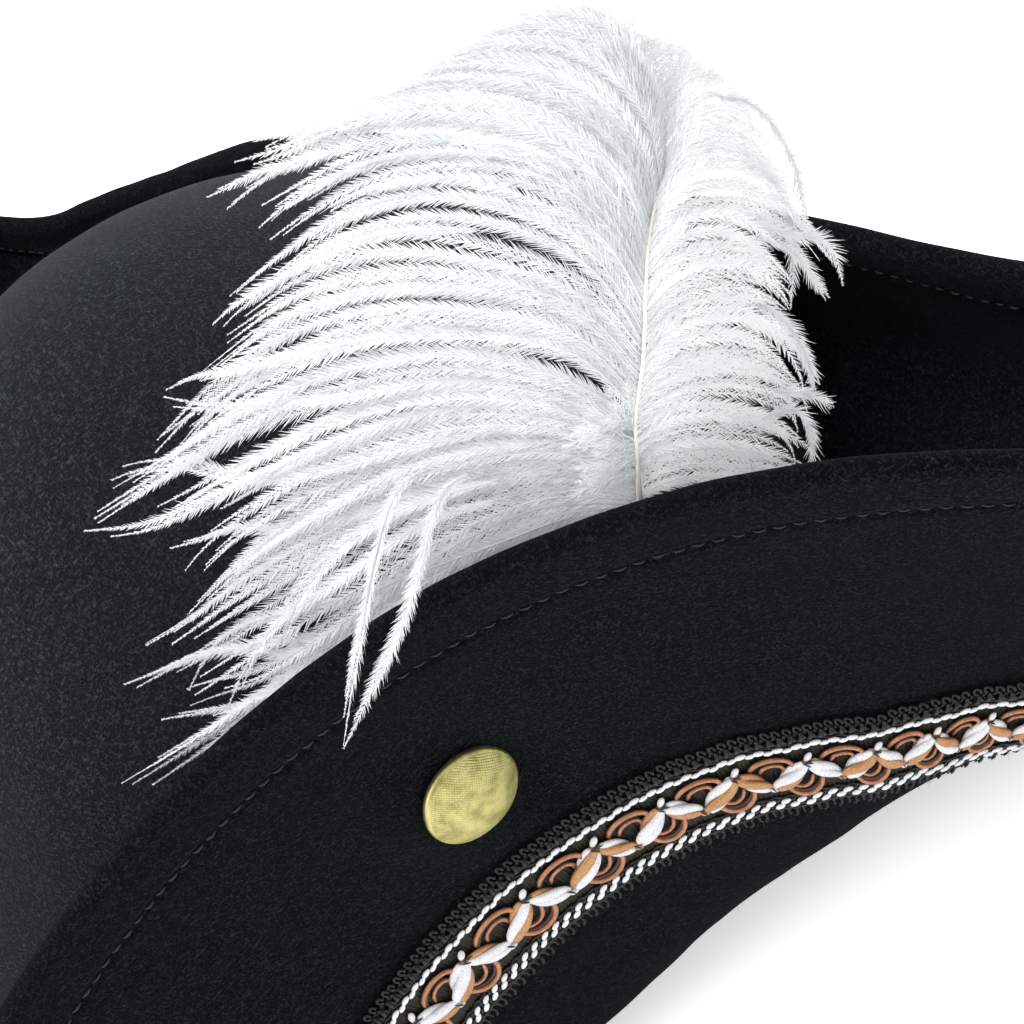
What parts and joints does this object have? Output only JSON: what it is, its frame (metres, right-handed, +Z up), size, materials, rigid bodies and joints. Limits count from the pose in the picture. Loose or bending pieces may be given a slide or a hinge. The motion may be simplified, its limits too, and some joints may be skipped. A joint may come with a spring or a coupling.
{
  "type": "pirate hat",
  "caption": "Cocked felt hat with a domed crown, a brim turned up on three sides, braid trim, domed brass buttons and a white ostrich plume standing behind one panel.",
  "frame": {"origin": "centre of the bounding box at its lowest level", "axes": "+Z up as worn; the front point of the hat faces -X turned 24 degrees to -Y; the plumed panel faces -Y"},
  "size_m": [0.3742, 0.3884, 0.1796],
  "materials": {
    "felt": "pressed wool felt, near-black charcoal with fine pale fibres",
    "sweatband": "black grosgrain band",
    "trim_dark": "dark olive-black braided cord, crosswise ribs",
    "trim_white": "white chain stitch cord",
    "trim_copper": "copper-coloured satin cord",
    "trim_satin": "twisted white and gold satin",
    "thread": "black sewing thread",
    "brass": "pale brass, brushed",
    "washer": "dark backing washer",
    "quill": "cream keratin shaft, satin",
    "plume": "white ostrich barbs, soft"
  },
  "bodies": {
    "hat": {"button_cap_near": "brass", "button_shank_near": "brass", "button_washer_near": "washer", "button_cap_left": "brass", "button_shank_left": "brass", "button_washer_left": "washer", "button_cap_back": "brass", "button_shank_back": "brass", "button_washer_back": "washer", "brim": "felt", "crown": "felt", "sweatband": "sweatband", "trim_lace_edge": "trim_dark", "trim_ribbon": "trim_dark", "trim_chain_upper": "trim_white", "trim_cord_copper": "trim_copper", "trim_leaf_row": "trim_satin", "trim_chain_lower": "trim_white", "trim_picot_edge": "trim_dark", "hem_stitch_row": "thread", "feather_holder": "felt"},
    "feather": {"feather_quill": "quill", "feather_vane_left": "plume", "feather_vane_right": "plume"}
  },
  "joints": [
    {"name": "feather_pull", "type": "slide", "parent": "hat", "child": "feather", "axis": [0.3484, -0.2363, 0.9071], "range_m": [0, 0.015]}
  ]
}
